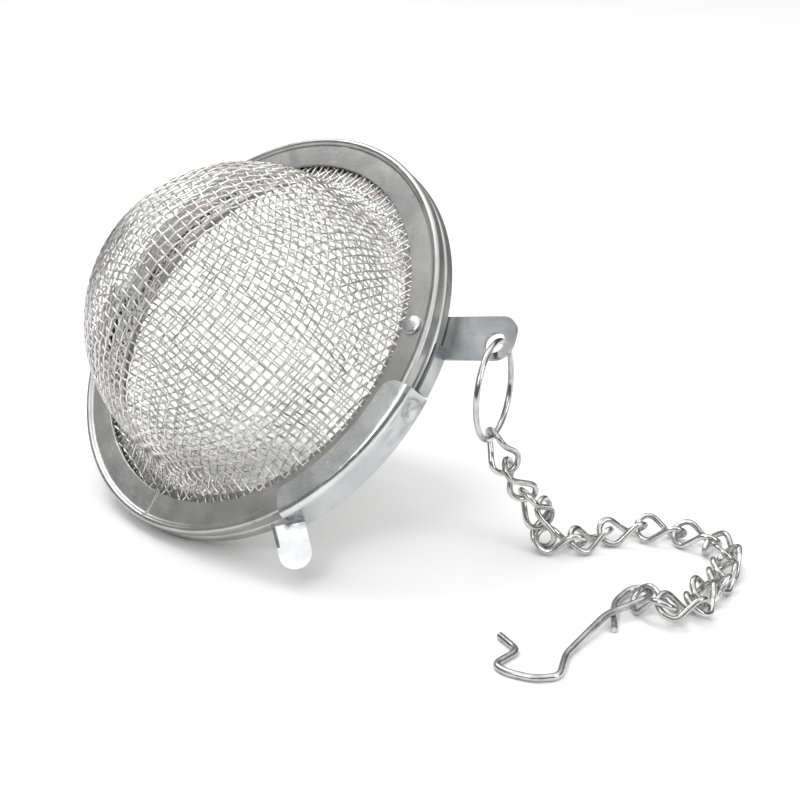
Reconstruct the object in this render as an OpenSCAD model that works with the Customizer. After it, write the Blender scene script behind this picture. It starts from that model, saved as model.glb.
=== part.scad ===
// Mesh tea infuser: two wire-cloth bowls that swivel on one rivet, a lug, a ring, a curb chain and a cup hook.
// Millimetres, +Z up. It rests on Z = 0 on its lower bowl and the edge of its lower rim, with the chain laid out.

/* [Bowls] */
// Outer radius of both rims
rim_r = 30.5; // [30.3:0.1:30.6]
// Radius of each wire-cloth dome, at the middle of the cloth
dome_r = 22.2; // [22:0.1:22.4]
// Thickness of the woven cloth
cloth_t = 0.6; // [0.4:0.1:0.6]
// Radius of the opening in each rim's outer sheet
flange_in_r = 26.1; // [26:0.1:26.8]
// Radius of the sweep from the dome into the rim
sweep_r = 3.9; // [3.7:0.1:3.9]
// Height of one rim
rim_h = 1.9; // [1.8:0.05:1.9]
// Radius of the rolled bead at the edge of a rim
bead_r = 0.95; // [0.85:0.05:0.95]
// Thickness of the rim sheet
sheet_t = 0.45; // [0.35:0.05:0.45]
// Running gap between the two rims
rim_gap = 0.1; // [0.05:0.05:0.15]

/* [Clasps] */
// Thickness of the clasp sheet
clasp_t = 0.4; // [0.3:0.05:0.4]
// Inner radius of the clasp wall
clasp_r = 31.25; // [31.1:0.05:31.4]
// Arc that the side clasp covers, in degrees
side_arc = 43; // [30:1:43]
// Arc that the far clasp covers, in degrees
far_arc = 22; // [14:1:22]
// Width of the finger tab
tab_w = 4.2; // [3.8:0.1:4.6]
// Length of the finger tab
tab_l = 6.4; // [5:0.1:7]
// Tilt of the finger tab from the plane of the rims, in degrees
tab_tilt = 8; // [0:1:12]
// Twist of the finger tab, in degrees
tab_twist = 26; // [16:1:30]

/* [Lug and rivet] */
// Radius of the rivet's shank
shank_r = 0.8; // [0.6:0.05:0.8]
// Radius of the rivet's head
head_r = 1.1; // [1:0.05:1.1]
// Width of the lug
lug_w = 6; // [5.4:0.1:6.4]
// Thickness of the lug
lug_t = 0.5; // [0.4:0.05:0.6]
// Radius of the hole in the lug
hole_r = 1.45; // [1.4:0.05:1.5]

/* [Ring, chain and hook] */
// Wire of the ring and of the links
wire_d = 0.8; // [0.7:0.05:0.8]
// Outer length of one link
link_l = 7.2; // [7.2:0.05:7.25]
// Outer width of one link
link_w = 4.5; // [4.4:0.1:4.6]
// Twist at each end of a link, in degrees
link_twist = 38; // [36:1:40]
// Wire of the cup hook
hook_d = 0.9; // [0.8:0.05:0.9]

/* [Pose at rest] */
// Lean of the rims from level, in degrees
lean = 49; // [48.5:0.1:49.5]

/* [Hidden] */
$fn = 96;
e = 0.01;
origin_x = 19.3;
origin_y = -11.55;
heading = -135;
rivet_at = 105;
rivet_r = 27.6;
side_from = rivet_at - 16 - side_arc;
far_from = rivet_at - 170 - far_arc;
wing_arc = 15.5;
hole_at = 104;
hole_out = 38.2;
lug_out = 40.9;
lug_corner = 2.4;
stack_h = 2 * rim_h + rim_gap;
dome_z = 0.2;
bead_at = rim_r - bead_r;
flat_z = -0.4;
cloth_top = flat_z - sheet_t;
cloth_mid = cloth_top - cloth_t / 2;
cloth_in_r = 24.6;
cloth_out_r = 27;
sweep_z = cloth_mid + sweep_r;
sweep_x = sqrt((dome_r + sweep_r) * (dome_r + sweep_r) - (sweep_z - dome_z) * (sweep_z - dome_z));
sweep_a = atan2(sweep_z - dome_z, sweep_x);
ball_h = dome_r + 0.3 + (stack_h + dome_z) * cos(lean);
ring_r = 6.3;
dome_n = 24;
sweep_n = 6;
ring_heading = 66;
link_arc = (link_w - wire_d) / 2;
link_c = link_l - wire_d;
knuckle = 0.05;
// where each link meets the one before it; the last point is on the hook's wire
route = [[32.7, -19.9, 17.2], [34.8, -19.7, 12.5], [37.1, -19.3, 8.6], [39.8, -18.3, 3.8], [39.8, -19, 1.7],
    [44.3, -19.4, 1.7], [48, -16.9, 1.6], [53.3, -15.5, 1.8], [58.3, -16.8, 1.6], [62.3, -19.4, 1.6],
    [63.2, -23.8, 1.8], [62.1, -26.7, 1.5], [60.5, -30.5, 1.7], [58.1, -32.9, 1.8], [56.8, -36.4, 1.9],
    [52.7, -37.7, 2.4], [50.3, -34.4, 1.6]];
roll = [-59, -20, -44, 83, -5, 0, 0, 0, 0, 0, 4, -3, -2, 7, 9, -4];
// the fourth link hangs back from the fifth, which holds it near its far end
back_link = 3;
back_by = link_c - wire_d - 0.1;
// the hook's wire, from its tip to the cut end of its eye
hook_path = [[32.6, -41.1, 0.45], [34.5, -44.5, 0.45], [31.5, -47.4, 0.45], [32.8, -49, 0.45], [35.8, -50.3, 0.45],
    [38.7, -49.9, 0.45], [39.9, -45.5, 0.6], [45.5, -37.9, 1.35], [51, -34.2, 1.5], [52, -32.4, 1.3],
    [51, -30.6, 1], [49.4, -30.8, 0.8], [47.2, -33.6, 0.6], [46.6, -37, 0.45], [46.3, -39.8, 0.45]];
steel = [0.78, 0.78, 0.77];
cloth_c = [0.86, 0.86, 0.84];
clasp_c = [0.7, 0.71, 0.72];
wire_c = [0.66, 0.66, 0.67];

// ---- frames ----
module placed() translate([-origin_x, -origin_y, 0]) children();

module on_ball() placed() translate([0, 0, ball_h]) rotate([0, 0, heading]) rotate([0, lean, 0]) children();

// turns an upper piece over to make the lower one
module turned() translate([0, 0, -stack_h]) mirror([0, 0, 1]) children();

// a round wire from p to q
module rod(p, q, d) {
    v = q - p;
    n = norm(v);
    translate(p) rotate([0, acos(v[2] / n), atan2(v[1], v[0])]) cylinder(d = d, h = n, $fn = 20);
}

// ---- bowls ----
// one face of the cloth, from the top of the dome through the sweep to the edge that the rim grips; s is its side
function cloth_face(s) = concat(
    [for (a = [90 : -(90 - sweep_a) / dome_n : sweep_a + e])
        [(dome_r + s * cloth_t / 2) * cos(a), dome_z + (dome_r + s * cloth_t / 2) * sin(a)]],
    [for (a = [180 + sweep_a : (90 - sweep_a) / sweep_n : 270 - e])
        [sweep_x + (sweep_r - s * cloth_t / 2) * cos(a), sweep_z + (sweep_r - s * cloth_t / 2) * sin(a)]],
    [[sweep_x, cloth_mid + s * cloth_t / 2], [cloth_out_r, cloth_mid + s * cloth_t / 2]]);

function turned_round(list) = [for (i = [len(list) - 1 : -1 : 0]) list[i]];

module cloth_section() polygon(concat(cloth_face(1), turned_round(cloth_face(-1))));

module rivet_hole(r) translate([rivet_r * cos(rivet_at), rivet_r * sin(rivet_at), -stack_h - 3])
    cylinder(r = r, h = stack_h + 6, $fn = 48);

module cloth() difference() {
    rotate_extrude() cloth_section();
    rivet_hole(1.3);
}

// the rolled bead, the outer sheet and the inner sheet, with a groove for the cloth between them
module rim_section() {
    difference() {
        union() {
            translate([bead_at, -bead_r]) circle(r = bead_r, $fn = 48);
            translate([cloth_in_r, -rim_h]) square([bead_at - cloth_in_r, rim_h + flat_z]);
        }
        translate([cloth_in_r - 1, cloth_top - cloth_t]) square([cloth_out_r - cloth_in_r + 1, cloth_t]);
        translate([cloth_in_r - 1, cloth_top - e]) square([flange_in_r - cloth_in_r + 1, sheet_t + 1]);
    }
}

module rim(bore) difference() {
    rotate_extrude() rim_section();
    rivet_hole(bore);
}

module lower_mesh() color(cloth_c) on_ball() turned() cloth();

module upper_mesh() color(cloth_c) on_ball() cloth();

module lower_rim() color(steel) on_ball() turned() rim(shank_r);

module upper_rim() color(steel) on_ball() rim(shank_r + 0.06);

// ---- clasps: channels of sheet that stand on the lower rim and lap over the upper one ----
over_z = 0.06;
under_z = -stack_h;
bend = 0.7;

module clasp_section() {
    wall_r = clasp_r;
    translate([wall_r, under_z - clasp_t]) square([clasp_t, over_z - bend - under_z + clasp_t]);
    translate([27.6, over_z]) square([wall_r - bend - 27.6, clasp_t]);
    intersection() {
        translate([wall_r - bend, over_z - bend]) difference() {
            circle(r = bend + clasp_t, $fn = 20);
            circle(r = bend, $fn = 20);
        }
        translate([wall_r - bend, over_z - bend]) square(2);
    }
    translate([27, under_z - clasp_t]) square([wall_r - 27 + e, clasp_t]);
    translate([27, under_z - clasp_t]) square([clasp_t, clasp_t - flat_z]);
}

module clasp(from, arc) rotate([0, 0, from]) rotate_extrude(angle = arc) clasp_section();

// a tongue with a round end, bent out from the wall for a fingertip, and a low web that stiffens one edge
module finger_tab() {
    tab_at = side_from - 1;
    half = tab_w / 2;
    rotate([0, 0, tab_at]) translate([clasp_r + 0.1, 0, -2.4]) rotate([0, tab_tilt, 0]) rotate([-tab_twist, 0, 0]) {
        translate([0, -half, -clasp_t / 2]) cube([tab_l - half, tab_w, clasp_t]);
        translate([tab_l - half, 0, -clasp_t / 2]) cylinder(d = tab_w, h = clasp_t, $fn = 48);
        translate([0, clasp_t - half, 0]) rotate([90, 0, 0]) linear_extrude(clasp_t)
            polygon([[0.1, -0.1], [0.1, 1.5], [3.6, -0.1]]);
    }
}

module side_clasp() color(clasp_c) on_ball() {
    clasp(side_from, side_arc);
    finger_tab();
}

module far_clasp() color(clasp_c) on_ball() clasp(far_from, far_arc);

// ---- lug and rivet ----
module lug_outline() difference() {
    union() {
        translate([25.6, -lug_w / 2]) square([lug_out - lug_corner - 25.6, lug_w]);
        translate([25.6, -lug_w / 2 + lug_corner]) square([lug_out - 25.6, lug_w - 2 * lug_corner]);
        for (s = [-1, 1]) translate([lug_out - lug_corner, s * (lug_w / 2 - lug_corner)])
            circle(r = lug_corner, $fn = 48);
    }
    translate([rivet_r, 0]) circle(r = shank_r, $fn = 48);
    rotate(hole_at - rivet_at) translate([hole_out, 0]) circle(r = hole_r, $fn = 48);
}

module lug() color(clasp_c) on_ball() {
    translate([0, 0, -stack_h - lug_t]) rotate([0, 0, rivet_at]) linear_extrude(lug_t) lug_outline();
    rotate([0, 0, rivet_at - wing_arc]) rotate_extrude(angle = wing_arc - 3) {
        translate([28.5, -stack_h - lug_t]) square([2.7, lug_t]);
        translate([30.6, -stack_h - lug_t]) square([0.6, lug_t + 1.6]);
        translate([28.5, -stack_h - lug_t]) square([0.25, lug_t - flat_z]);
    }
}

module rivet() color(steel) on_ball() rotate([0, 0, rivet_at]) translate([rivet_r, 0, 0]) {
    foot = -stack_h - lug_t;
    translate([0, 0, foot]) cylinder(r = shank_r, h = flat_z - foot + 0.1, $fn = 48);
    translate([0, 0, flat_z + 0.04]) intersection() {
        cylinder(r = head_r, h = 1, $fn = 48);
        translate([0, 0, -0.9]) sphere(r = 1.65, $fn = 48);
    }
    translate([0, 0, foot]) mirror([0, 0, 1]) intersection() {
        cylinder(r = 1.4, h = 1, $fn = 48);
        translate([0, 0, -1.3]) sphere(r = 2, $fn = 48);
    }
    difference() {
        translate([0, 0, -stack_h]) cylinder(r = 1.1, h = -flat_z, $fn = 48);
        translate([0, 0, -stack_h - e]) cylinder(r = shank_r - e, h = 1, $fn = 48);
    }
}

// ---- ring, chain and hook ----
function on_world(p) = [
    p[0] * cos(lean) * cos(heading) - p[1] * sin(heading) + p[2] * sin(lean) * cos(heading),
    p[0] * cos(lean) * sin(heading) + p[1] * cos(heading) + p[2] * sin(lean) * sin(heading),
    ball_h - p[0] * sin(lean) + p[2] * cos(lean)];

hole_c = on_world([hole_out * cos(hole_at), hole_out * sin(hole_at), -stack_h - lug_t / 2]);

// a ring of round wire with a narrow cut, hung upright through the lug
module jump_ring() color(wire_c) placed() translate(hole_c - [0, 0, ring_r]) rotate([0, 0, ring_heading])
    rotate([90, 0, 0]) rotate([0, 0, 64]) rotate_extrude(angle = 356) translate([ring_r, 0])
        circle(d = wire_d, $fn = 20);

module half_loop() rotate_extrude(angle = 180) translate([link_arc, 0]) circle(d = wire_d, $fn = 20);

// one curb link along +X from the wire at its start: two half loops, each turned about X, and two sides
module curb_link() {
    translate([link_arc, 0, 0]) rotate([link_twist, 0, 0]) rotate([0, 0, 90]) half_loop();
    translate([link_c - link_arc, 0, 0]) rotate([-link_twist, 0, 0]) rotate([0, 0, -90]) half_loop();
    for (s = [-1, 1]) {
        p = [link_arc, s * link_arc * cos(link_twist), s * link_arc * sin(link_twist)];
        q = [link_c - link_arc, s * link_arc * cos(link_twist), -s * link_arc * sin(link_twist)];
        rod(p, q, wire_d);
        translate(p) sphere(d = wire_d + knuckle, $fn = 24);
        translate(q) sphere(d = wire_d + knuckle, $fn = 24);
    }
}

module link(i) color(wire_c) placed() {
    v = route[i + 1] - route[i];
    u = v / norm(v);
    start = i == back_link ? route[i + 1] - back_by * u : (route[i] + route[i + 1] - link_c * u) / 2;
    translate(start) rotate([roll[i], -asin(u[2]), atan2(u[1], u[0])]) curb_link();
}

function unit(v) = v / norm(v);

// each corner of a path becomes a short curve that starts and ends at most c away from it
function eased(path, c) = concat([path[0]],
    [for (i = [1 : len(path) - 2]) let (
        p = path[i],
        a = p + unit(path[i - 1] - p) * min(c, 0.48 * norm(path[i - 1] - p)),
        b = p + unit(path[i + 1] - p) * min(c, 0.48 * norm(path[i + 1] - p)))
        for (t = [0 : 0.25 : 1]) (1 - t) * (1 - t) * a + 2 * t * (1 - t) * p + t * t * b],
    [path[len(path) - 1]]);

function along(path, i) = unit(path[min(i + 1, len(path) - 1)] - path[max(i - 1, 0)]);

// a sideways direction at each point, carried along the path without twist
function sides(path, i, u) = i == len(path) ? [] :
    let (t = along(path, i), v = unit(u - (u * t) * t)) concat([v], sides(path, i + 1, v));

module wire(path, d, n) {
    us = sides(path, 0, [0, 0, 1]);
    last = len(path) - 1;
    pts = [for (i = [0 : last]) let (t = along(path, i), w = cross(t, us[i]))
        for (k = [0 : n - 1]) path[i] + d / 2 * (us[i] * cos(360 * k / n) + w * sin(360 * k / n))];
    tube = [for (i = [0 : last - 1]) for (k = [0 : n - 1]) let (j = (k + 1) % n)
        [i * n + k, (i + 1) * n + k, (i + 1) * n + j, i * n + j]];
    caps = [[for (k = [0 : n - 1]) k], [for (k = [n - 1 : -1 : 0]) last * n + k]];
    polyhedron(pts, concat(tube, caps));
}

module cup_hook() color(wire_c) placed() wire(eased(hook_path, 1.1), hook_d, 10);

lower_mesh();
lower_rim();
side_clasp();
far_clasp();
lug();
rivet();
upper_mesh();
upper_rim();
jump_ring();
link(0);  // link_01
link(1);  // link_02
link(2);  // link_03
link(3);  // link_04
link(4);  // link_05
link(5);  // link_06
link(6);  // link_07
link(7);  // link_08
link(8);  // link_09
link(9);  // link_10
link(10);  // link_11
link(11);  // link_12
link(12);  // link_13
link(13);  // link_14
link(14);  // link_15
link(15);  // link_16
cup_hook();
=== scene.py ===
"""Mesh ball tea infuser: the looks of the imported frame.

Lengths are in millimetres and angles in radians, unless a comment says otherwise. Meshes, lights and the
camera are in metres.
"""
import math

import bpy
import numpy as np
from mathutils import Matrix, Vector


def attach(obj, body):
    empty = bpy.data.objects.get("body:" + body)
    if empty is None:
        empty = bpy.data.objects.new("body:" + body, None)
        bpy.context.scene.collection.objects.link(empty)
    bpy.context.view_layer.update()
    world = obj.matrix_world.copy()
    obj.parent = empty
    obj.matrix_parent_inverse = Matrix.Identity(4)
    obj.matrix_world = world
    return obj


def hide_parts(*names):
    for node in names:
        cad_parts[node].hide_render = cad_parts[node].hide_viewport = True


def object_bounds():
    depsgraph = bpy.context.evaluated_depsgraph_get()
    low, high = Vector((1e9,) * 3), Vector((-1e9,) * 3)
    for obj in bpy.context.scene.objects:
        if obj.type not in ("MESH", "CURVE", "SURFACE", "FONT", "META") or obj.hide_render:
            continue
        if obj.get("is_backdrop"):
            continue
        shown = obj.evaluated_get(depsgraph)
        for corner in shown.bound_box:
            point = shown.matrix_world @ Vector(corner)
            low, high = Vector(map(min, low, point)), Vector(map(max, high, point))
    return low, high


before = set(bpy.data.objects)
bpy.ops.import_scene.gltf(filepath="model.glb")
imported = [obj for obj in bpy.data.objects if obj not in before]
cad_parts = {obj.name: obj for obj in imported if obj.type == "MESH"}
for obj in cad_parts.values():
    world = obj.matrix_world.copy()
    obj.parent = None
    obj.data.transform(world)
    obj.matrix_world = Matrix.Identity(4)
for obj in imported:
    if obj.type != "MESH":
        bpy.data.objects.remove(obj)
cad_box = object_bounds()

MM = 0.001
TAU = 2 * math.pi

# ---- driving sizes, as in the CAD ----
LEAN, HEADING = math.radians(49), math.radians(-135)
ORIGIN = np.array([19.3, -11.55, 0])
RIM_R, RIM_H, RIM_GAP = 30.5, 1.9, 0.1
STACK_H = 2 * RIM_H + RIM_GAP
FLANGE_IN_R = 26.1
SHEET_T = 0.45
FLAT_Z = -0.4
DOME_R, DOME_Z, CLOTH_T = 22.2, 0.2, 0.6
SWEEP_R = 3.9
CLOTH_IN_R, CLOTH_OUT_R = 24.6, 27.0
CLOTH_MID = FLAT_Z - SHEET_T - CLOTH_T / 2
SWEEP_Z = CLOTH_MID + SWEEP_R
SWEEP_X = math.sqrt((DOME_R + SWEEP_R) ** 2 - (SWEEP_Z - DOME_Z) ** 2)
SWEEP_A = math.atan2(SWEEP_Z - DOME_Z, SWEEP_X)
BALL_H = DOME_R + 0.3 + (STACK_H + DOME_Z) * math.cos(LEAN)
WIRE_D, HOOK_D = 0.8, 0.9
LINK_L, LINK_W, LINK_TWIST = 7.2, 4.5, math.radians(38)
LINK_ARC = (LINK_W - WIRE_D) / 2
LINK_C = LINK_L - WIRE_D
RING_R, RING_HEADING = 6.3, math.radians(66)
RING_CUT_AT, RING_CUT = math.radians(62), math.radians(4)
HOLE_OUT, HOLE_AT, LUG_T = 38.2, math.radians(104), 0.5
RIVET_R, RIVET_AT = 27.6, math.radians(105)
SHANK_R, HEAD_R, FOOT_R = 0.8, 1.3, 1.4

# the chain's route and each link's roll, then the hook's wire, as in the CAD
ROUTE = [(32.7, -19.9, 17.2), (34.8, -19.7, 12.5), (37.1, -19.3, 8.6), (39.8, -18.3, 3.8), (39.8, -19, 1.7),
         (44.3, -19.4, 1.7), (48, -16.9, 1.6), (53.3, -15.5, 1.8), (58.3, -16.8, 1.6), (62.3, -19.4, 1.6),
         (63.2, -23.8, 1.8), (62.1, -26.7, 1.5), (60.5, -30.5, 1.7), (58.1, -32.9, 1.8), (56.8, -36.4, 1.9),
         (52.7, -37.7, 2.4), (50.3, -34.4, 1.6)]
ROLL = [-59, -20, -44, 83, -5, 0, 0, 0, 0, 0, 4, -3, -2, 7, 9, -4]
BACK_LINK = 3
BACK_BY = LINK_C - WIRE_D - 0.1
HOOK_PATH = [(32.6, -41.1, 0.45), (34.5, -44.5, 0.45), (31.5, -47.4, 0.45), (32.8, -49, 0.45),
             (35.8, -50.3, 0.45), (38.7, -49.9, 0.45), (39.9, -45.5, 0.6), (45.5, -37.9, 1.35),
             (51, -34.2, 1.5), (52, -32.4, 1.3), (51, -30.6, 1), (49.4, -30.8, 0.8), (47.2, -33.6, 0.6),
             (46.6, -37, 0.45), (46.3, -39.8, 0.45)]

# ---- woven cloth ----
PITCH = 1.4
CLOTH_WIRE_D = 0.27
WEAVE_RISE = 0.1
WEAVE_TURN = math.radians(-20)
LOWER_WEAVE_TURN = WEAVE_TURN + math.radians(9)
WIRE_CUT_R = CLOTH_OUT_R - 0.1
FEWEST_CROSSINGS = 4
STEPS = 3
WIRE_SIDES = 6
# how far apart the wires lie in the noise of their material, so that no two look alike
UV_SHIFT, UV_SPAN = 0.37, 90

# how the net settles on the dome
ROUNDS = 260
EASE = 0.9
WIRE_STIFFNESS = 0.05
LEAST_DIAGONAL, DIAGONAL_SHARE = 0.6 * PITCH, 0.4
SPARE_NODES = 3
# each kind of neighbour: its steps in the net, its distance, and whether it only pushes
NEIGHBOURS = ((1, 0, PITCH, False), (0, 1, PITCH, False),
              (1, 1, LEAST_DIAGONAL, True), (1, -1, LEAST_DIAGONAL, True))


# ---- frames ----
def turn(axis, angle):
    """Rotation about X, Y or Z, as a 3 x 3 matrix."""
    c, s = math.cos(angle), math.sin(angle)
    a, b = [k for k in range(3) if k != "XYZ".index(axis)]
    m = np.eye(3)
    m[a, a] = m[b, b] = c
    m[a, b], m[b, a] = (-s, s) if axis != "Y" else (s, -s)
    return m


BALL_TURN = turn("Z", HEADING) @ turn("Y", LEAN)


def on_ball(points):
    """From the ball's own frame to the row frame; its Z is the ball's axis, 0 at the upper rim's top."""
    return np.asarray(points, float) @ BALL_TURN.T + (0, 0, BALL_H) - ORIGIN


def turned(points):
    """From the upper half to the lower one."""
    return np.asarray(points, float) * (1, 1, -1) - (0, 0, STACK_H)


# ---- meshes ----
BEVEL_RISE = 0.6
MOST_REACH = 0.48


def make_piece(name, points, faces, material, body, nodes, uv=None, sharp=35):
    """A mesh from points in millimetres in the row frame; it rides on body and stands for nodes."""
    mesh = bpy.data.meshes.new(name)
    mesh.from_pydata((np.asarray(points) * MM).tolist(), [], faces)
    mesh.validate()
    if uv is not None:
        layer = mesh.uv_layers.new(name="UVMap")
        index = np.empty(len(mesh.loops), int)
        mesh.loops.foreach_get("vertex_index", index)
        layer.data.foreach_set("uv", np.asarray(uv, np.float32)[index].ravel())
    finish_mesh(mesh, sharp)
    piece = bpy.data.objects.new(name, mesh)
    bpy.context.scene.collection.objects.link(piece)
    mesh.materials.append(material)
    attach(piece, body)
    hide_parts(*nodes)
    return piece


def finish_mesh(mesh, sharp):
    mesh.polygons.foreach_set("use_smooth", [True] * len(mesh.polygons))
    mesh.set_sharp_from_angle(angle=math.radians(sharp))


def unit(v):
    return v / np.linalg.norm(v, axis=-1, keepdims=True)


def tube(path, ups, radius, sides):
    """Points, faces and UVs in mm (along, round) of a round wire; ups are directions across it."""
    path = np.asarray(path, float)
    count = len(path)
    along = unit(np.gradient(path, axis=0))
    up = unit(ups - (ups * along).sum(1, keepdims=True) * along)
    side = np.cross(along, up)
    a = np.arange(sides) * TAU / sides
    across = np.cos(a)[None, :, None] * up[:, None] + np.sin(a)[None, :, None] * side[:, None]
    rings = path[:, None] + radius * across
    i, k = np.meshgrid(np.arange(count - 1), np.arange(sides), indexing="ij")
    j, m = i + 1, (k + 1) % sides
    faces = np.stack([i * sides + k, i * sides + m, j * sides + m, j * sides + k], -1).reshape(-1, 4)
    length = np.concatenate([[0], np.cumsum(np.linalg.norm(np.diff(path, axis=0), axis=1))])
    uv = np.stack(np.broadcast_arrays(length[:, None], (a * radius)[None, :]), -1).reshape(-1, 2)
    return rings.reshape(-1, 3), faces, uv


def capped_tube(path, ups, radius, sides, bevel):
    """A wire with cut ends, each with a small bevel."""
    path = np.asarray(path, float)
    points, faces, uv = tube(path, ups, radius, sides)
    faces = [tuple(f) for f in faces.tolist()]
    last = len(path) - 1
    points = points.reshape(-1, sides, 3)
    ends = []
    for at, out in ((0, unit(path[0] - path[1])), (last, unit(path[-1] - path[-2]))):
        ends.append(path[at] + (points[at] - path[at]) * (1 - bevel / radius) + out * bevel * BEVEL_RISE)
    points = np.concatenate([points.reshape(-1, 3), *ends])
    uv = np.concatenate([uv, uv[:sides], uv[-sides:]])
    first, final = (last + 1) * sides, (last + 2) * sides
    for k in range(sides):
        m = (k + 1) % sides
        faces.append((k, first + k, first + m, m))
        faces.append((last * sides + k, last * sides + m, final + m, final + k))
    faces.append(tuple(first + k for k in range(sides)))
    faces.append(tuple(final + k for k in reversed(range(sides))))
    return points, faces, uv


def carried(path, up):
    """A direction across the path at each point, carried along it without twist."""
    along = unit(np.gradient(np.asarray(path, float), axis=0))
    ups = []
    for t in along:
        up = unit(up - (up @ t) * t)
        ups.append(up)
    return np.array(ups)


def rounded(path, reach, steps):
    """Each corner of a path becomes a curve that starts and ends at most reach away from it."""
    path = [np.array(p, float) for p in path]
    made = [path[0]]
    for before, p, after in zip(path, path[1:], path[2:]):
        a = p + unit(before - p) * min(reach, MOST_REACH * np.linalg.norm(before - p))
        b = p + unit(after - p) * min(reach, MOST_REACH * np.linalg.norm(after - p))
        made += [(1 - t) ** 2 * a + 2 * t * (1 - t) * p + t * t * b for t in np.linspace(0, 1, steps + 1)]
    return np.array(made + [path[-1]])


def lathe(outline, count):
    """Turns a closed (radius, height) outline round Z; UVs are in mm round and along the outline."""
    outline = np.asarray(outline, float)
    rows = len(outline)
    a = np.arange(count) * TAU / count
    r, z = outline[:, 0], outline[:, 1]
    points = np.stack([np.cos(a)[:, None] * r, np.sin(a)[:, None] * r, np.broadcast_to(z, (count, rows))], -1)
    i, k = np.meshgrid(np.arange(count), np.arange(rows), indexing="ij")
    j, m = (i + 1) % count, (k + 1) % rows
    faces = np.stack([i * rows + k, j * rows + k, j * rows + m, i * rows + m], -1).reshape(-1, 4)
    length = np.concatenate([[0], np.cumsum(np.linalg.norm(np.diff(outline, axis=0), axis=1))])
    uv = np.stack(np.broadcast_arrays((a * RIM_R)[:, None], length[None, :]), -1).reshape(-1, 2)
    return points.reshape(-1, 3), faces, uv


# ---- materials ----
STAIN_BROWN = (0.30, 0.25, 0.20, 1)
LINE_DEPTH = 0.004
LINE_GLOSS, LINE_DULL, LEAST_ROUGH = 0.1, 0.14, 0.04
SCRATCH_STRETCH = (0.25, 5, 5)


def ramp(nodes, low, high, at=(0.35, 0.65)):
    node = nodes.new("ShaderNodeValToRGB")
    for element, value, place in zip(node.color_ramp.elements, (low, high), at):
        element.position = place
        element.color = (*value, 1) if isinstance(value, tuple) else (value, value, value, 1)
    return node


def steel(name, bright, dark, rough, grain, coord="Object", scratches=0.0, dents=0.0, stain=0.0, patch=0.35,
          dent=0.5):
    """Worked stainless steel: fine grain, patches of duller metal, scratches, shallow dents and brown stain.

    grain is how dense the drawn or brushed lines are along each coordinate. scratches and dents are depths in
    mm, and patch and dent say how many patches and dents come in a millimetre. stain is the strength of the
    brown spots.
    """
    material = bpy.data.materials.new(name)
    material.use_nodes = True
    nodes, links = material.node_tree.nodes, material.node_tree.links
    shader = nodes["Principled BSDF"]
    shader.inputs["Metallic"].default_value = 1.0
    place = nodes.new("ShaderNodeTexCoord")
    to_mm = nodes.new("ShaderNodeMapping")
    to_mm.inputs["Scale"].default_value = (1, 1, 1) if coord == "UV" else (1000, 1000, 1000)
    links.new(place.outputs[coord], to_mm.inputs["Vector"])

    def noise(size, stretch=(1, 1, 1), detail=4, distortion=0.0):
        mapping = nodes.new("ShaderNodeMapping")
        mapping.inputs["Scale"].default_value = stretch
        links.new(to_mm.outputs["Vector"], mapping.inputs["Vector"])
        made = nodes.new("ShaderNodeTexNoise")
        made.inputs["Scale"].default_value = size
        made.inputs["Detail"].default_value = detail
        made.inputs["Distortion"].default_value = distortion
        links.new(mapping.outputs["Vector"], made.inputs["Vector"])
        return made.outputs["Fac"]

    patches = ramp(nodes, dark, bright, (0.34, 0.6))
    links.new(noise(patch, detail=4, distortion=0.4), patches.inputs["Fac"])
    colour = patches.outputs["Color"]
    if stain:
        spots = ramp(nodes, 0.0, stain, (0.6, 0.78))
        links.new(noise(1.1, detail=6), spots.inputs["Fac"])
        mix = nodes.new("ShaderNodeMixRGB")
        mix.inputs["Color2"].default_value = STAIN_BROWN
        links.new(spots.outputs["Color"], mix.inputs["Fac"])
        links.new(colour, mix.inputs["Color1"])
        colour = mix.outputs["Color"]
    links.new(colour, shader.inputs["Base Color"])

    lines = noise(6.0, grain, detail=3)
    gloss = ramp(nodes, max(rough - LINE_GLOSS, LEAST_ROUGH), rough + LINE_DULL, (0.3, 0.72))
    links.new(lines, gloss.inputs["Fac"])
    links.new(gloss.outputs["Color"], shader.inputs["Roughness"])

    normal = None

    def bump(height, depth):
        nonlocal normal
        node = nodes.new("ShaderNodeBump")
        node.inputs["Distance"].default_value = depth * MM
        node.inputs["Strength"].default_value = 1.0
        links.new(height, node.inputs["Height"])
        if normal:
            links.new(normal, node.inputs["Normal"])
        normal = node.outputs["Normal"]

    if dents:
        bump(noise(dent, detail=1, distortion=0.2), dents)
    bump(lines, LINE_DEPTH)
    if scratches:
        cuts = ramp(nodes, 0.0, 1.0, (0.66, 0.7))
        links.new(noise(1.4, SCRATCH_STRETCH, detail=6, distortion=1.5), cuts.inputs["Fac"])
        bump(cuts.outputs["Color"], scratches)
    links.new(normal, shader.inputs["Normal"])
    return material


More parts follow.
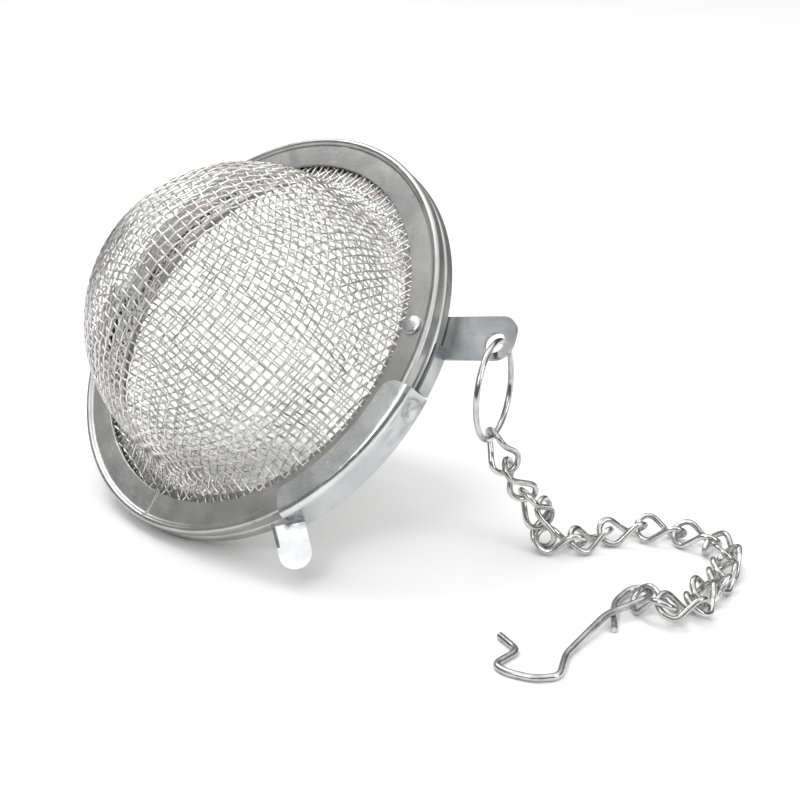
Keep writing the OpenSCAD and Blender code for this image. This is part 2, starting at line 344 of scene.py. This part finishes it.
cloth_steel = steel("cloth_steel", bright=(0.78, 0.775, 0.76), dark=(0.48, 0.476, 0.47), rough=0.24,
                    grain=(0.3, 4, 4), coord="UV", patch=0.08)
rim_steel = steel("rim_steel", bright=(0.5, 0.5, 0.495), dark=(0.4, 0.4, 0.4), rough=0.34, grain=(0.15, 3, 3),
                  coord="UV", scratches=0.008, dents=0.08, stain=0.15, patch=0.2, dent=0.2)
sheet_steel = steel("sheet_steel", bright=(0.72, 0.725, 0.73), dark=(0.58, 0.585, 0.59), rough=0.2,
                    grain=(1, 1, 6), scratches=0.01, dents=0.12, stain=0.1, patch=0.16, dent=0.3)
lug_steel = steel("lug_steel", bright=(0.5, 0.505, 0.51), dark=(0.3, 0.305, 0.31), rough=0.24,
                  grain=(6, 6, 1), scratches=0.006, dents=0.12, stain=0.2, patch=0.16, dent=0.12)
link_steel = steel("link_steel", bright=(0.64, 0.64, 0.635), dark=(0.36, 0.36, 0.36), rough=0.16,
                   grain=(0.4, 3, 3), coord="UV", scratches=0.006, stain=0.35)
hook_steel = steel("hook_steel", bright=(0.6, 0.6, 0.6), dark=(0.36, 0.36, 0.36), rough=0.2,
                   grain=(0.3, 3, 3), coord="UV", scratches=0.008, stain=0.3)
rivet_steel = steel("rivet_steel", bright=(0.66, 0.66, 0.655), dark=(0.5, 0.5, 0.5), rough=0.24,
                    grain=(1, 1, 1), scratches=0.006, dents=0.04, stain=0.1)


# ---- woven domes ----
def onto_cloth(p):
    """The nearest points on the middle of the upper dome's cloth, and the way out of it there."""
    r = np.maximum(np.hypot(p[..., 0], p[..., 1]), 1e-9)
    z = p[..., 2]
    on_dome = np.arctan2(z - DOME_Z, r) > SWEEP_A
    flat = ~on_dome & (r >= SWEEP_X)
    mid_r, mid_z = np.where(on_dome, 0, SWEEP_X), np.where(on_dome, DOME_Z, SWEEP_Z)
    size = np.where(on_dome, DOME_R, SWEEP_R)
    away = np.stack([r - mid_r, z - mid_z], -1)
    away /= np.maximum(np.linalg.norm(away, axis=-1, keepdims=True), 1e-9)
    new_r = np.where(flat, r, mid_r + size * away[..., 0])
    new_z = np.where(flat, CLOTH_MID, mid_z + size * away[..., 1])
    out_r = np.where(flat, 0, np.where(on_dome, away[..., 0], -away[..., 0]))
    out_z = np.where(flat, 1, np.where(on_dome, away[..., 1], -away[..., 1]))
    way = p[..., :2] / r[..., None]
    points = np.concatenate([way * new_r[..., None], new_z[..., None]], -1)
    return points, np.concatenate([way * out_r[..., None], out_z[..., None]], -1)


def pressed_cloth():
    """A square net of stiff wires, pressed into the dome: its cells shear as they do in drawn wire cloth."""
    on_dome, on_sweep = DOME_R * (math.pi / 2 - SWEEP_A), SWEEP_R * (math.pi / 2 - SWEEP_A)
    half = int((on_dome + on_sweep + CLOTH_OUT_R - SWEEP_X) / PITCH) + SPARE_NODES
    u, v = np.meshgrid(*[np.arange(-half, half + 1) * PITCH] * 2, indexing="ij")
    rho, phi = np.hypot(u, v), np.arctan2(v, u)
    fall = np.minimum(rho, on_dome) / DOME_R
    swept = np.clip(rho - on_dome, 0, on_sweep) / SWEEP_R
    beyond = np.maximum(rho - on_dome - on_sweep, 0)
    r = np.where(rho < on_dome, DOME_R * np.sin(fall), SWEEP_X - SWEEP_R * np.cos(SWEEP_A + swept) + beyond)
    z = np.where(rho < on_dome, DOME_Z + DOME_R * np.cos(fall), SWEEP_Z - SWEEP_R * np.sin(SWEEP_A + swept))
    p = np.stack([r * np.cos(phi), r * np.sin(phi), z], -1)
    for _ in range(ROUNDS):
        move = np.zeros_like(p)
        weight = np.zeros(p.shape[:2] + (1,))
        for di, dj, rest, only_pushes in NEIGHBOURS:
            a = (slice(0, -di or None), slice(max(-dj, 0), -dj if dj > 0 else None))
            b = (slice(di, None), slice(max(dj, 0), dj if dj < 0 else None))
            span = p[b] - p[a]
            size = np.linalg.norm(span, axis=-1, keepdims=True)
            pull = 0.5 * span * (1 - rest / size)
            share = 1
            if only_pushes:
                pull *= size < rest
                share = DIAGONAL_SHARE
            move[a] += pull
            move[b] -= pull
            weight[a] += share
            weight[b] += share
        p = onto_cloth(p + EASE * move / weight)[0]
        straight = p.copy()
        straight[1:-1] += WIRE_STIFFNESS * (p[2:] + p[:-2] - 2 * p[1:-1])
        straight[:, 1:-1] += WIRE_STIFFNESS * (p[:, 2:] + p[:, :-2] - 2 * p[:, 1:-1])
        p = onto_cloth(straight)[0]
    return p


def smooth_through(points, steps):
    """A Catmull-Rom curve through the points, with steps pieces from each to the next."""
    p = np.concatenate([[2 * points[0] - points[1]], points, [2 * points[-1] - points[-2]]])
    t = (np.arange(steps) / steps)[None, :, None]
    a, b, c, d = (p[k:len(p) - 3 + k, None] for k in range(4))
    square, cube = 2 * a - 5 * b + 4 * c - d, 3 * b - a - 3 * c + d
    curve = 0.5 * (2 * b + (c - a) * t + square * t**2 + cube * t**3)
    return np.concatenate([curve.reshape(-1, 3), points[-1:]])


def woven_wires(net):
    """Every wire of the net as (path, out), each passing over and under the ones it crosses."""
    kept = np.hypot(net[..., 0], net[..., 1]) < WIRE_CUT_R
    count = net.shape[0]
    for way in (0, 1):
        for i in range(count):
            line = net[i] if way == 0 else net[:, i]
            inside = np.flatnonzero(kept[i] if way == 0 else kept[:, i])
            if len(inside) < FEWEST_CROSSINGS:
                continue
            inside = np.arange(max(inside[0] - 1, 0), min(inside[-1] + 2, count))
            curve = smooth_through(line[inside], STEPS)
            turn_at = (inside[0] + np.arange(len(curve)) / STEPS + i + way) * math.pi
            gripped = np.flatnonzero(np.hypot(curve[:, 0], curve[:, 1]) < WIRE_CUT_R)
            span = slice(gripped[0], gripped[-1] + 1)
            curve, turn_at = curve[span], turn_at[span]
            _, out = onto_cloth(curve)
            yield curve + out * (WEAVE_RISE * np.cos(turn_at))[:, None], out


def woven_dome(name, body, node, flip, turn_by):
    """One half's cloth; turn_by is how far its weave is turned about the ball's axis."""
    points, faces, uvs, start = [], [], [], 0
    spin = turn("Z", turn_by)
    for path, out in woven_wires(pressed):
        p, f, uv = tube(path, out, CLOTH_WIRE_D / 2, WIRE_SIDES)
        points.append(p)
        faces.append(f + start)
        uvs.append(uv + (start * UV_SHIFT % UV_SPAN, 0))
        start += len(p)
    points = np.concatenate(points) @ spin.T
    points = on_ball(turned(points) if flip else points)
    faces = np.concatenate(faces)
    if flip:
        faces = faces[:, ::-1]
    make_piece(name, points, faces.tolist(), cloth_steel, body, [node], np.concatenate(uvs), 180)


pressed = pressed_cloth()
woven_dome("upper_cloth", "upper_bowl", "upper_mesh", False, WEAVE_TURN)
woven_dome("lower_cloth", "lower_bowl", "lower_mesh", True, LOWER_WEAVE_TURN)


# ---- rims ----
ROLL_R = 0.5
LIP_R = 0.12
RISE_FROM, RISE_TO, RISE_H = 0.35, 0.1, 0.03
WAIST = 0.05
RIM_STEPS = 288
HEAD_GAP, HEAD_EDGE, HEAD_DOME, HEAD_POLE = 0.02, 0.18, 0.34, 0.12
FOOT_EDGE, FOOT_DOME, FOOT_POLE = 0.12, 0.4, 1.45
EDGE_IN = 0.02
RIVET_STEPS = 40


def arc(middle_r, middle_z, radius, start, end, count):
    """Points on an arc in the (radius, height) plane, from start to end in degrees."""
    a = np.radians(np.linspace(start, end, count))
    return list(zip(middle_r + radius * np.cos(a), middle_z + radius * np.sin(a)))


def rim_outline():
    """The flat flange, the rolled edge and the two sheets that grip the cloth, anticlockwise."""
    under = FLAT_Z - SHEET_T
    lip = arc(FLANGE_IN_R + LIP_R, FLAT_Z - LIP_R, LIP_R, 180, 90, 5)
    rise = [(RIM_R - 2 * ROLL_R - RISE_FROM, FLAT_Z), (RIM_R - 2 * ROLL_R - RISE_TO, FLAT_Z + RISE_H)]
    top = arc(RIM_R - ROLL_R, -ROLL_R, ROLL_R, 150, 0, 12)
    foot = arc(RIM_R - ROLL_R, ROLL_R - RIM_H, ROLL_R, 0, -90, 8)
    shell = [(FLANGE_IN_R, under), *lip, *rise, *top, (RIM_R - WAIST, -RIM_H / 2), *foot,
             (CLOTH_IN_R, -RIM_H), (CLOTH_IN_R, under - CLOTH_T), (CLOTH_OUT_R, under - CLOTH_T),
             (CLOTH_OUT_R, under)]
    return shell[::-1]


def rim(name, body, node, flip):
    points, faces, uv = lathe(rim_outline(), RIM_STEPS)
    if flip:
        points = turned(points)
        faces = faces[:, ::-1]
    make_piece(name, on_ball(points), faces.tolist(), rim_steel, body, [node], uv, 32)


rim("upper_rim_sheet", "upper_bowl", "upper_rim", False)
rim("lower_rim_sheet", "lower_bowl", "lower_rim", True)


def spun(outline, count):
    """Turns an open (radius, height) outline round Z and closes it to a point on the axis at each end."""
    outline = np.asarray(outline, float)
    rows = len(outline)
    a = np.arange(count) * TAU / count
    ring = np.stack([np.cos(a), np.sin(a)], -1)
    body = np.concatenate([ring[:, None] * outline[None, :, :1], np.tile(outline[:, 1:], (count, 1, 1))], -1)
    points = np.concatenate([body.reshape(-1, 3), [(0, 0, outline[0, 1]), (0, 0, outline[-1, 1])]])
    first, last = count * rows, count * rows + 1
    faces = []
    for i in range(count):
        j = (i + 1) % count
        faces.append((first, i * rows, j * rows))
        faces += [(i * rows + k, i * rows + k + 1, j * rows + k + 1, j * rows + k) for k in range(rows - 1)]
        faces.append((last, j * rows + rows - 1, i * rows + rows - 1))
    return points, faces


def rivet():
    """A domed head that was closed on the flange, the shank and a flatter head under the lug."""
    seat, foot = FLAT_Z + HEAD_GAP, -STACK_H - LUG_T
    head = [(HEAD_R * math.sin(a), seat + HEAD_EDGE + HEAD_DOME * math.cos(a))
            for a in np.linspace(HEAD_POLE, math.pi / 2, 10)]
    base = [(FOOT_R * math.cos(a), foot - FOOT_EDGE - FOOT_DOME * math.sin(a))
            for a in np.linspace(0, FOOT_POLE, 9)]
    shank = [(HEAD_R - EDGE_IN, seat), (SHANK_R, seat), (SHANK_R, foot), (FOOT_R - EDGE_IN, foot)]
    outline = [*head, *shank, *base]
    points, faces = spun(outline, RIVET_STEPS)
    points = points + (RIVET_R * math.cos(RIVET_AT), RIVET_R * math.sin(RIVET_AT), 0)
    make_piece("rivet_domed", on_ball(points), faces, rivet_steel, "lower_bowl", ["rivet"], sharp=40)


rivet()

# ---- clasps and lug ----
CLASP_R, CLASP_T, BEND = 31.25, 0.4, 0.7
OVER_Z, UNDER_Z = 0.06, -STACK_H
FLAP_R, TUCK_R = 27.6, 27.0
# in degrees round the ball's axis
SIDE_FROM, SIDE_ARC = 46, 43
TAB_AT, TAB_W, TAB_L, TAB_Z = SIDE_FROM - 1, 4.2, 6.4, -2.4
TAB_TILT, TAB_TWIST = math.radians(8), math.radians(-26)
WEB_L, WEB_H, WEB_IN = 3.6, 1.5, 0.1
TOP_BEVEL, FOOT_BEND = 0.12, 0.3
CLASP_STEPS, WALL_ROWS = 120, 7
# the flap's corners: how far each reaches along it, in degrees, and how far it is cut back
CORNER_ARC, CORNER_CUT = 3.5, 1.8
# dents in the side clasp's wall, as (place and width in degrees, depth): a sharp one and two shallow ones
DENTS = ((84.5, 1.8, 0.32), (77, 3, 0.2), (62, 5, 0.15))


def clasp_section(flap_r, push):
    """The channel's closed outline; push moves the middle of its wall inwards, as a dent does."""
    out = CLASP_R + CLASP_T
    middle = CLASP_R - BEND
    top = OVER_Z + CLASP_T
    inner_bend = arc(middle, OVER_Z - BEND, BEND, 90, 0, 6)
    outer_bend = arc(middle, OVER_Z - BEND, BEND + CLASP_T, 0, 90, 9)
    wall_z = np.linspace(OVER_Z - BEND, UNDER_Z, WALL_ROWS)[1:-1]
    dent = push * np.sin(np.linspace(0, math.pi, WALL_ROWS)[1:-1]) ** 2
    inner_wall = list(zip(CLASP_R - dent, wall_z))
    outer_wall = list(zip(out - dent, wall_z))[::-1]
    foot = arc(out - FOOT_BEND, UNDER_Z - CLASP_T + FOOT_BEND, FOOT_BEND, -90, 0, 5)
    tuck = [(CLASP_R, UNDER_Z), (TUCK_R + CLASP_T, UNDER_Z), (TUCK_R + CLASP_T, UNDER_Z - FLAT_Z),
            (TUCK_R, UNDER_Z - FLAT_Z), (TUCK_R, UNDER_Z - CLASP_T)]
    return [(flap_r, top - TOP_BEVEL), (flap_r, OVER_Z), *inner_bend, *inner_wall, *tuck, *foot, *outer_wall,
            *outer_bend, (flap_r + TOP_BEVEL, top)]


def dent_at(angle):
    """How far the side clasp's wall is pushed in at an angle in degrees."""
    return sum(depth * math.exp(-((angle - at) / width) ** 2) for at, width, depth in DENTS)


def side_clasp():
    """The channel over both rims, with rounded corners, dents and its finger tab."""
    count = CLASP_STEPS
    rings = []
    for angle in np.linspace(SIDE_FROM, SIDE_FROM + SIDE_ARC, count):
        from_end = min(angle - SIDE_FROM, SIDE_FROM + SIDE_ARC - angle) / CORNER_ARC
        corner = 1 - math.sqrt(max(0, 1 - max(0, 1 - from_end) ** 2))
        section = np.array(clasp_section(FLAP_R + CORNER_CUT * corner, dent_at(angle)))
        a = math.radians(angle)
        rings.append(np.stack([section[:, 0] * math.cos(a), section[:, 0] * math.sin(a), section[:, 1]], -1))
    rows = len(rings[0])
    faces = [(i * rows + k, (i + 1) * rows + k, (i + 1) * rows + (k + 1) % rows, i * rows + (k + 1) % rows)
             for i in range(count - 1) for k in range(rows)]
    faces += [tuple(range(rows)), tuple((count - 1) * rows + k for k in reversed(range(rows)))]
    points = np.concatenate(rings)
    for shape, solid in finger_tab():
        faces += [tuple(k + len(points) for k in face) for face in solid]
        points = np.concatenate([points, shape])
    make_piece("side_clasp_sheet", on_ball(points), faces, sheet_steel, "lower_bowl", ["side_clasp"],
               sharp=30)


def plate(outline, low, high):
    """A flat plate from an anticlockwise outline in XY, between two heights."""
    outline = np.asarray(outline, float)
    count = len(outline)
    points = np.concatenate([np.column_stack([outline, np.full(count, z)]) for z in (low, high)])
    sides = [(k, (k + 1) % count, count + (k + 1) % count, count + k) for k in range(count)]
    return points, [tuple(reversed(range(count))), tuple(range(count, 2 * count)), *sides]


def finger_tab():
    """The tongue for a fingertip and the low web along its edge, twisted a little as they were pressed."""
    half = TAB_W / 2
    tongue = [(0, -half), *arc(TAB_L - half, 0, half, -90, 90, 19), (0, half)]
    web = [(WEB_IN, -WEB_IN), (WEB_L, -WEB_IN), (WEB_IN, WEB_H)]
    place = turn("Z", math.radians(TAB_AT)) @ turn("Y", TAB_TILT) @ turn("X", TAB_TWIST)
    root = turn("Z", math.radians(TAB_AT)) @ (CLASP_R + WEB_IN, 0, TAB_Z)
    points, faces = plate(tongue, -CLASP_T / 2, CLASP_T / 2)
    yield points @ place.T + root, faces
    points, faces = plate(web, -CLASP_T, 0)
    points = points @ turn("X", math.pi / 2).T + (0, -half, 0)
    yield points @ place.T + root, faces


side_clasp()
for node, material in (("far_clasp", sheet_steel), ("lug", lug_steel)):
    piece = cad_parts[node]
    piece.data.materials.clear()
    piece.data.materials.append(material)
    finish_mesh(piece.data, 30)


# ---- ring, chain and hook ----
RING_STEPS, RING_SIDES, RING_BEVEL = 120, 18, 0.08
LINK_SIDES, LINK_BEVEL = 14, 0.05
LINK_SPACING, LINK_EASE = 0.15, 0.6
LINK_CUT = 0.2
LINK_UV_SHIFT = 23.7
HOOK_SIDES, HOOK_BEVEL = 18, 0.1
HOOK_BEND = 1.1


def jump_ring():
    hole = on_ball([HOLE_OUT * math.cos(HOLE_AT), HOLE_OUT * math.sin(HOLE_AT), -STACK_H - LUG_T / 2])
    plane = turn("Z", RING_HEADING) @ turn("X", math.pi / 2)
    a = RING_CUT_AT + RING_CUT / 2 + np.linspace(0, TAU - RING_CUT, RING_STEPS)
    path = hole - (0, 0, RING_R) + np.stack([RING_R * np.cos(a), RING_R * np.sin(a), 0 * a], -1) @ plane.T
    ups = np.broadcast_to(plane[:, 2], path.shape)
    points, faces, uv = capped_tube(path, ups, WIRE_D / 2, RING_SIDES, RING_BEVEL)
    make_piece("ring_wire", points, faces, link_steel, "jump_ring", ["jump_ring"], uv, 30)


def eased_loop(corners, spacing, width):
    """A closed curve near corners: points spacing apart, each eased to the mean of those within width."""
    corners = np.concatenate([corners, corners[:1]])
    length = np.concatenate([[0], np.cumsum(np.linalg.norm(np.diff(corners, axis=0), axis=1))])
    count = int(length[-1] / spacing)
    at = np.arange(count) * length[-1] / count
    loop = np.stack([np.interp(at, length, corners[:, k]) for k in range(3)], -1)
    reach = int(width / spacing)
    size = np.ptp(loop, axis=0)
    for _ in range(2):
        loop = sum(np.roll(loop, k, 0) for k in range(-reach, reach + 1)) / (2 * reach + 1)
    middle = (loop.min(0) + loop.max(0)) / 2
    return middle + (loop - middle) * size / np.ptp(loop, axis=0)


def link_path():
    """One curb link's wire, from the cut in the middle of one side and round to it again."""
    a = np.linspace(math.pi / 2, 3 * math.pi / 2, 25)
    near = np.stack([LINK_ARC * np.cos(a), LINK_ARC * np.sin(a), 0 * a], -1)
    far = near * (-1, -1, 1)
    near = near @ turn("X", LINK_TWIST).T + (LINK_ARC, 0, 0)
    far = far @ turn("X", -LINK_TWIST).T + (LINK_C - LINK_ARC, 0, 0)
    loop = eased_loop(np.concatenate([near, far]), LINK_SPACING, LINK_EASE)
    cut = np.argmin(np.abs(loop[:, 0] - LINK_C / 2) + (loop[:, 1] < 0) * LINK_C)
    loop = np.roll(loop, -cut, 0)
    gap = LINK_CUT * (loop[1] - loop[0])
    return np.concatenate([loop[:1] + gap, loop[1:], loop[:1] - gap])


def chain():
    """Every link, rolled about its own length and laid between two points of the route."""
    shape = link_path()
    for i, roll in enumerate(ROLL):
        start, end = np.array(ROUTE[i]), np.array(ROUTE[i + 1])
        u = unit(end - start)
        start = end - BACK_BY * u if i == BACK_LINK else (start + end - LINK_C * u) / 2
        heading, dip = math.atan2(u[1], u[0]), -math.asin(u[2])
        place = turn("Z", heading) @ turn("Y", dip) @ turn("X", math.radians(roll))
        path = shape @ place.T + start - ORIGIN
        ups = carried(path, place @ (0, 0, 1.0))
        points, faces, uv = capped_tube(path, ups, WIRE_D / 2, LINK_SIDES, LINK_BEVEL)
        uv = uv + (i * LINK_UV_SHIFT, 0)
        name = f"link_{i + 1:02d}"
        make_piece(name + "_wire", points, faces, link_steel, name, [name], uv, 30)


def cup_hook():
    path = rounded(HOOK_PATH, HOOK_BEND, 8) - ORIGIN
    ups = carried(path, np.array([0, 0, 1.0]))
    points, faces, uv = capped_tube(path, ups, HOOK_D / 2, HOOK_SIDES, HOOK_BEVEL)
    make_piece("hook_wire", points, faces, hook_steel, "cup_hook", ["cup_hook"], uv, 30)


jump_ring()
chain()
cup_hook()


# ---- floor, light and camera, in metres ----
FLOOR_HALF = 3.0
FLOOR_COLOUR, FLOOR_ROUGHNESS = (0.94, 0.94, 0.94, 1), 0.9
LIT_AT = (0, 0, 0.02)
# each light's place, size and power in watts
LIGHTS = {"key": ((-0.3, 0.3, 0.6), (0.3, 0.3), 1.9),
          "front": ((-0.3, -0.5, 0.5), (0.25, 0.25), 1.0),
          "side": ((0.5, -0.3, 0.3), (0.25, 0.3), 0.9)}
SKY_LEVELS, SKY_STRENGTH = ((0.0, 0.06), (0.4, 0.12), (0.62, 0.42), (0.85, 1.0)), 1.5
CAMERA_AT = np.array([1.53, -172.82, 87.2]) * MM
CAMERA_PITCH = math.radians(21.65)
CAMERA_LENS, SENSOR_W, CLIP_START = 63, 36, 0.005


def floor():
    mesh = bpy.data.meshes.new("floor")
    corners = [(x * FLOOR_HALF, y * FLOOR_HALF, 0) for x, y in ((-1, -1), (1, -1), (1, 1), (-1, 1))]
    mesh.from_pydata(corners, [], [(0, 1, 2, 3)])
    made = bpy.data.objects.new("floor", mesh)
    bpy.context.scene.collection.objects.link(made)
    pale = bpy.data.materials.new("floor")
    pale.use_nodes = True
    shader = pale.node_tree.nodes["Principled BSDF"]
    shader.inputs["Base Color"].default_value = FLOOR_COLOUR
    shader.inputs["Roughness"].default_value = FLOOR_ROUGHNESS
    mesh.materials.append(pale)
    made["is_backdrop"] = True


def area_light(name, place, size, power):
    """A white rectangle of light that faces the object."""
    data = bpy.data.lights.new(name, "AREA")
    data.shape = "RECTANGLE"
    data.size, data.size_y = size
    data.energy = power
    lamp = bpy.data.objects.new(name, data)
    bpy.context.scene.collection.objects.link(lamp)
    lamp.location = place
    lamp.rotation_euler = (Vector(LIT_AT) - Vector(place)).to_track_quat("-Z", "Y").to_euler()


def sky(levels, strength):
    """A soft studio, dark at the sides and bright overhead; levels are (height, brightness) going up."""
    world = bpy.data.worlds.new("studio")
    bpy.context.scene.world = world
    world.use_nodes = True
    nodes, links = world.node_tree.nodes, world.node_tree.links
    place = nodes.new("ShaderNodeTexCoord")
    split = nodes.new("ShaderNodeSeparateXYZ")
    shade = nodes.new("ShaderNodeValToRGB")
    elements = shade.color_ramp.elements
    while len(elements) < len(levels):
        elements.new(0.5)
    for element, (height, value) in zip(elements, levels):
        element.position = height
        element.color = (value, value, value, 1)
    links.new(place.outputs["Generated"], split.inputs["Vector"])
    links.new(split.outputs["Z"], shade.inputs["Fac"])
    links.new(shade.outputs["Color"], nodes["Background"].inputs["Color"])
    nodes["Background"].inputs["Strength"].default_value = strength


def add_camera():
    data = bpy.data.cameras.new("camera")
    data.lens, data.sensor_width, data.clip_start = CAMERA_LENS, SENSOR_W, CLIP_START
    made = bpy.data.objects.new("camera", data)
    bpy.context.scene.collection.objects.link(made)
    made.location = CAMERA_AT
    made.rotation_euler = (math.pi / 2 - CAMERA_PITCH, 0, 0)
    return made


floor()
for light, (place, size, power) in LIGHTS.items():
    area_light(light, place, size, power)
sky(SKY_LEVELS, SKY_STRENGTH)
bpy.context.scene.view_settings.view_transform = "Standard"
bpy.context.scene.camera = add_camera()

bpy.context.view_layer.update()
[[list(map(float, corner)) for corner in box] for box in (cad_box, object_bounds())]
